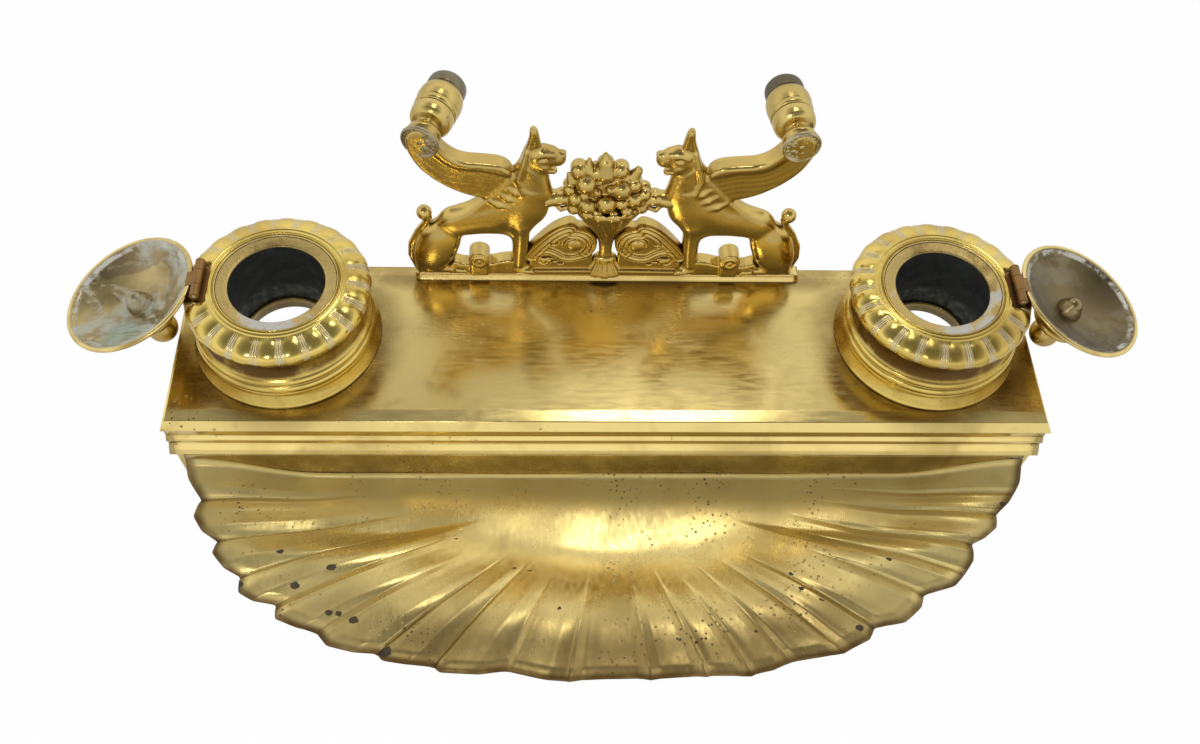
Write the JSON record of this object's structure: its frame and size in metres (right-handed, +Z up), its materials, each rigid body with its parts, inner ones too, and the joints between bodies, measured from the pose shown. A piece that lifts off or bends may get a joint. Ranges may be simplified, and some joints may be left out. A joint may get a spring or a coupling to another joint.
{
  "type": "desk inkstand",
  "caption": "Brass desk inkstand with a scallop-shell tray, hinged-lid ink pots and an openwork crest of winged beasts and fruit behind, with spindles for pens.",
  "frame": {"origin": "centre of the footprint on the table, under the middle of the overall box", "axes": "+X to the right end of the stand seen from the tray side, +Y to the back (the crest side), +Z up"},
  "size_m": [0.4138, 0.1924, 0.1262],
  "materials": {
    "polished_brass": "polished yellow brass with fine scratches",
    "aged_brass": "dull cast brass, unpolished",
    "tray_brass": "polished cast brass with dark casting pits",
    "pot_brass": "polished brass with pale deposit in the grooves",
    "stained_brass": "stained with dried ink and pale deposit",
    "lid_brass": "brushed brass with a cream and grey crust inside",
    "copper_hinge": "copper-coloured brass, matte",
    "crest_brass": "polished cast brass, dark in the hollows",
    "spindle_brass": "turned brass, dull",
    "dark_brass": "dark tarnished end",
    "screw_steel": "plain screws and pins"
  },
  "bodies": {
    "root": {"deck_plate": "polished_brass", "front_wall": "aged_brass", "front_moulding": "polished_brass", "back_wall": "aged_brass", "end_plate_left": "polished_brass", "end_plate_right": "polished_brass", "shell_tray": "tray_brass", "tray_screws": "screw_steel", "pot_drum_left": "pot_brass", "pot_drum_right": "pot_brass", "pot_shoulder_left": "pot_brass", "pot_shoulder_right": "pot_brass", "well_sleeve_left": "stained_brass", "well_sleeve_right": "stained_brass", "pot_screws": "screw_steel", "hinge_leaf_left": "copper_hinge", "hinge_leaf_right": "copper_hinge", "hinge_pin_left": "screw_steel", "hinge_pin_right": "screw_steel", "crest_rail": "crest_brass", "crest_screws": "screw_steel", "griffin_left": "crest_brass", "griffin_right": "crest_brass", "scroll_left": "crest_brass", "scroll_right": "crest_brass", "under_scroll_left": "crest_brass", "under_scroll_right": "crest_brass", "basket": "crest_brass", "fruit": "crest_brass", "rosette_left": "crest_brass", "rosette_right": "crest_brass", "spindle_cup_left": "spindle_brass", "spindle_cup_right": "spindle_brass", "spindle_barrel_left": "spindle_brass", "spindle_barrel_right": "spindle_brass", "spindle_cap_left": "dark_brass", "spindle_cap_right": "dark_brass"},
    "lid_left": {"lid_left": "lid_brass", "lid_knuckle_left": "copper_hinge", "finial_left": "lid_brass", "finial_nut_left": "lid_brass"},
    "lid_right": {"lid_right": "lid_brass", "lid_knuckle_right": "copper_hinge", "finial_right": "lid_brass", "finial_nut_right": "lid_brass"}
  },
  "joints": [
    {"name": "lid_left_hinge", "type": "hinge", "parent": "root", "child": "lid_left", "pos_m": [-0.1546, 0.03368, 0.0733], "axis": [0, 1, 0], "range_deg": [0, 199.5]},
    {"name": "lid_right_hinge", "type": "hinge", "parent": "root", "child": "lid_right", "pos_m": [0.1546, 0.03368, 0.0733], "axis": [0, -1, 0], "range_deg": [0, 199.5]}
  ]
}
